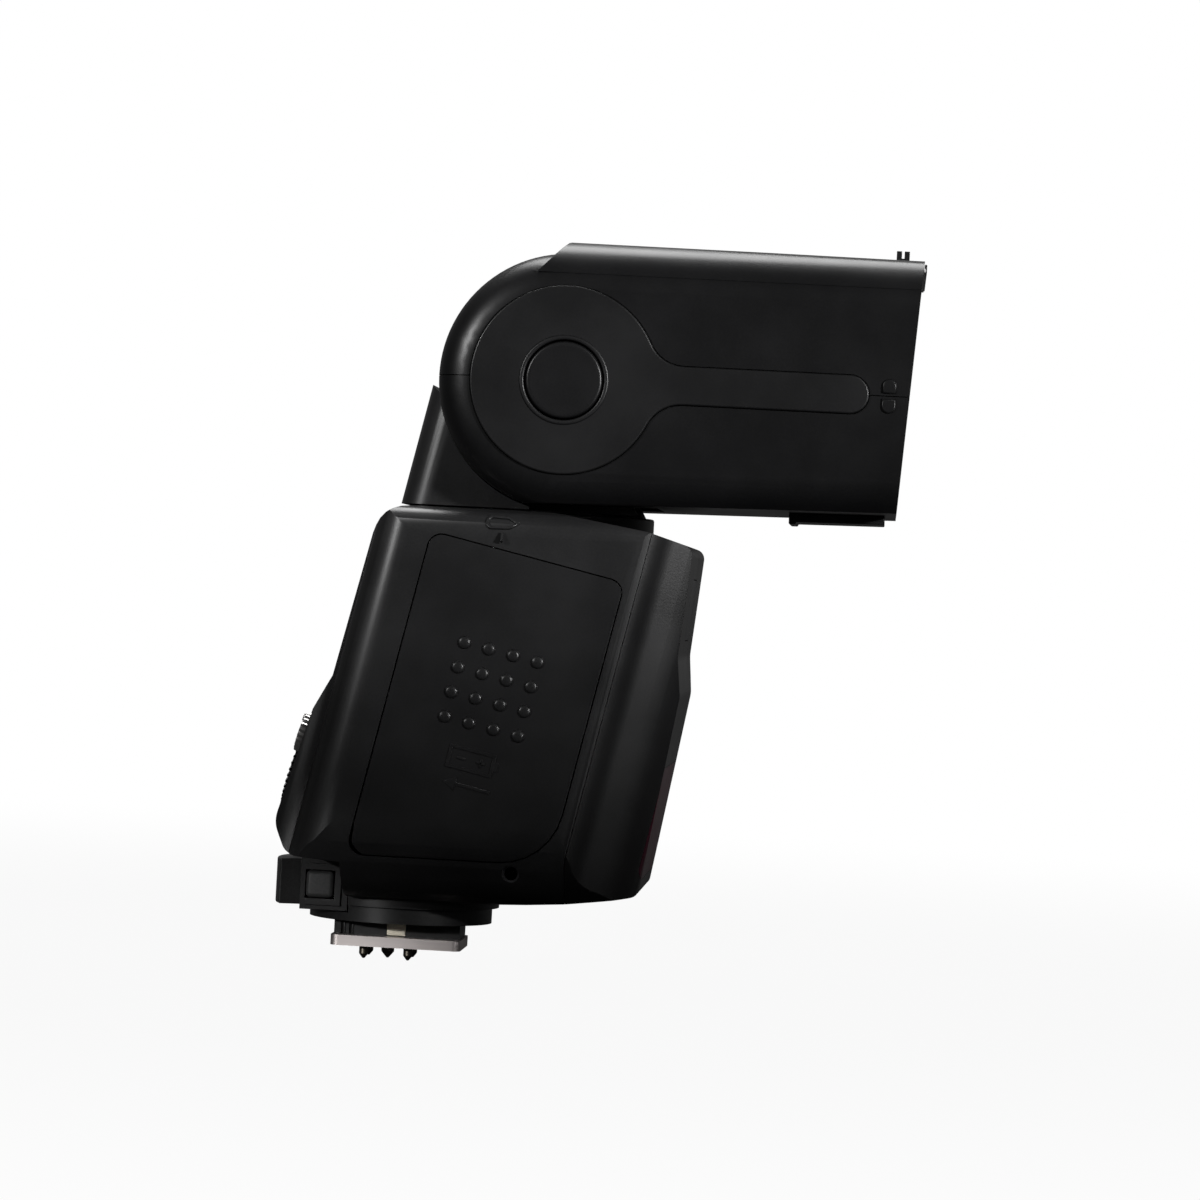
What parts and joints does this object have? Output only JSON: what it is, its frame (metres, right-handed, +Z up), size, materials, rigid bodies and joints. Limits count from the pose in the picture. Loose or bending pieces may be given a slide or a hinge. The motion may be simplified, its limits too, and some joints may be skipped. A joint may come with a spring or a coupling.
{
  "type": "speedlight flash",
  "caption": "Camera-top flash with a head that tilts and swivels on a leaning body, a sliding battery door, rear controls and a locking shoe foot.",
  "frame": {"origin": "centre of the underside of the shoe foot", "axes": "+Z up, +X to the front, the way the head points at rest, +Y to the flash's left"},
  "size_m": [0.1199, 0.0762, 0.1417],
  "materials": {
    "body_plastic": "fine-grained black moulding",
    "cover_plastic": "smooth satin black moulding",
    "rubber_black": "soft black rubber",
    "control_plastic": "satin black moulding",
    "switch_metal": "satin silver",
    "foot_metal": "bright plated steel",
    "contact_metal": "gold plated",
    "inner_plastic": "plain dark moulding",
    "spring_steel": "plated strip",
    "cell_sleeve": "plain printed sleeve",
    "board_green": "solder mask",
    "capacitor_sleeve": "shrink sleeve",
    "lamp_red": "deep red clear",
    "lamp_green": "tinted clear",
    "led_white": "clear epoxy",
    "window_smoke": "dark clear",
    "lcd_glass": "grey green",
    "lens_clear": "prismatic clear",
    "panel_white": "white",
    "mirror_metal": "bright polished"
  },
  "bodies": {
    "body": {"rear_case": "body_plastic", "front_case": "body_plastic", "control_panel": "body_plastic", "lcd_window": "window_smoke", "lcd_module": "lcd_glass", "main_board": "board_green", "main_capacitor": "capacitor_sleeve", "battery_cage": "inner_plastic", "battery_cells": "cell_sleeve", "battery_contacts": "spring_steel", "assist_lamp_window": "lamp_red", "assist_lamp_led": "led_white", "sensor_window": "window_smoke", "confirm_lamp": "lamp_green", "terminal_sockets": "inner_plastic", "swivel_collar": "cover_plastic", "bracket_insert": "foot_metal", "case_screws": "foot_metal", "foot_flange": "cover_plastic", "lock_housing": "body_plastic", "foot_block": "cover_plastic", "foot_plate": "foot_metal", "ground_contact": "contact_metal", "foot_screws": "foot_metal", "contact_springs": "foot_metal", "door_hinge_pin": "foot_metal"},
    "neck": {"neck_yoke": "body_plastic", "swivel_shaft": "foot_metal", "swivel_washer": "foot_metal", "tilt_pins": "foot_metal"},
    "head": {"head_upper_case": "body_plastic", "head_lower_case": "body_plastic", "side_cover_right": "cover_plastic", "side_cover_left": "cover_plastic", "front_frame": "cover_plastic", "fresnel_lens": "lens_clear", "accessory_rail": "cover_plastic", "zoom_motor": "spring_steel"},
    "lamp_carriage": {"zoom_carriage": "inner_plastic", "reflector": "mirror_metal", "flash_tube": "lens_clear"},
    "contact_pins": {"contact_pins": "foot_metal"},
    "lock_lever": {"lock_lever": "body_plastic"},
    "lock_pin": {"lock_pin": "foot_metal"},
    "lock_release_button": {"lock_release_button": "body_plastic"},
    "door_hinge_arm": {"door_hinge_arm": "inner_plastic"},
    "battery_door": {"battery_door": "body_plastic"},
    "select_dial": {"select_dial": "control_plastic"},
    "set_button": {"set_button": "control_plastic"},
    "power_switch": {"power_switch": "switch_metal"},
    "mode_button": {"mode_button": "rubber_black"},
    "zoom_button": {"zoom_button": "rubber_black"},
    "sync_button": {"sync_button": "rubber_black"},
    "light_button": {"light_button": "rubber_black"},
    "test_button": {"test_button": "lamp_red"},
    "terminal_cover": {"terminal_cover": "rubber_black"},
    "lead_screw": {"lead_screw": "contact_metal"},
    "bounce_lock_button": {"bounce_lock_button": "cover_plastic"},
    "wide_panel": {"wide_panel": "lens_clear"},
    "catchlight_panel": {"catchlight_panel": "panel_white"}
  },
  "joints": [
    {"name": "head_swivel", "type": "hinge", "parent": "body", "child": "neck", "pos_m": [0.0205, 0, 0.0852], "axis": [0, 0, 1], "range_deg": [-180, 180]},
    {"name": "head_tilt", "type": "hinge", "parent": "neck", "child": "head", "pos_m": [0.0289, 0, 0.10965], "axis": [0, -1, 0], "range_deg": [0, 90]},
    {"name": "bounce_lock_press", "type": "slide", "parent": "head", "child": "bounce_lock_button", "axis": [0, 1, 0], "range_m": [0, 0.001], "stiffness_N_per_m": 400},
    {"name": "zoom_travel", "type": "slide", "parent": "head", "child": "lamp_carriage", "axis": [1, 0, 0], "range_m": [0, 0.0135]},
    {"name": "lead_screw_turn", "type": "hinge", "parent": "head", "child": "lead_screw", "pos_m": [0.0676, 0.0295, 0.118], "axis": [1, 0, 0], "continuous": true},
    {"name": "wide_panel_pull", "type": "slide", "parent": "head", "child": "wide_panel", "axis": [1, 0, 0], "range_m": [0, 0.032]},
    {"name": "catchlight_pull", "type": "slide", "parent": "head", "child": "catchlight_panel", "axis": [1, 0, 0], "range_m": [0, 0.032]},
    {"name": "contact_press", "type": "slide", "parent": "body", "child": "contact_pins", "axis": [0, 0, 1], "range_m": [0, 0.0015], "stiffness_N_per_m": 600, "deforming": ["contact_springs"]},
    {"name": "lock_lever_swing", "type": "hinge", "parent": "body", "child": "lock_lever", "pos_m": [0, 0, 0.0094], "axis": [0, 0, -1], "range_deg": [0, 35]},
    {"name": "lock_pin_drop", "type": "slide", "parent": "body", "child": "lock_pin", "axis": [0, 0, -1], "range_m": [0, 0.0016]},
    {"name": "lock_release_press", "type": "slide", "parent": "body", "child": "lock_release_button", "axis": [0, 1, 0], "range_m": [0, 0.0012], "stiffness_N_per_m": 400},
    {"name": "door_swing", "type": "hinge", "parent": "body", "child": "door_hinge_arm", "pos_m": [-0.00627, -0.031, 0.0504], "axis": [-0.2079, 0, -0.9781], "range_deg": [0, 100]},
    {"name": "door_slide", "type": "slide", "parent": "door_hinge_arm", "child": "battery_door", "axis": [-0.5887, -0.7986, 0.1251], "range_m": [0, 0.003]},
    {"name": "select_dial_turn", "type": "hinge", "parent": "body", "child": "select_dial", "pos_m": [-0.01933, 0, 0.03389], "axis": [-0.9588, 0, 0.2841], "continuous": true},
    {"name": "set_button_press", "type": "slide", "parent": "body", "child": "set_button", "axis": [0.9588, 0, -0.2841], "range_m": [0, 0.0006], "stiffness_N_per_m": 400},
    {"name": "power_switch_turn", "type": "hinge", "parent": "body", "child": "power_switch", "pos_m": [-0.01734, -0.019, 0.0406], "axis": [-0.9588, 0, 0.2841], "range_deg": [0, 60]},
    {"name": "mode_button_press", "type": "slide", "parent": "body", "child": "mode_button", "axis": [0.9781, 0, -0.2079], "range_m": [0, 0.0006], "stiffness_N_per_m": 400},
    {"name": "zoom_button_press", "type": "slide", "parent": "body", "child": "zoom_button", "axis": [0.9781, 0, -0.2079], "range_m": [0, 0.0006], "stiffness_N_per_m": 400},
    {"name": "sync_button_press", "type": "slide", "parent": "body", "child": "sync_button", "axis": [0.9781, 0, -0.2079], "range_m": [0, 0.0006], "stiffness_N_per_m": 400},
    {"name": "light_button_press", "type": "slide", "parent": "body", "child": "light_button", "axis": [0.9781, 0, -0.2079], "range_m": [0, 0.0006], "stiffness_N_per_m": 400},
    {"name": "test_button_press", "type": "slide", "parent": "body", "child": "test_button", "axis": [0.9588, 0, -0.2841], "range_m": [0, 0.0008], "stiffness_N_per_m": 400},
    {"name": "terminal_cover_swing", "type": "hinge", "parent": "body", "child": "terminal_cover", "pos_m": [0.02419, 0.035, 0.04189], "axis": [0.2079, 0, 0.9781], "range_deg": [0, 110]}
  ],
  "couplings": [
    {"joint": "lock_pin_drop", "follows": "lock_lever_swing", "m_per_rad": 0.0026192},
    {"joint": "lead_screw_turn", "follows": "zoom_travel", "rad_per_m": 2094.4}
  ]
}
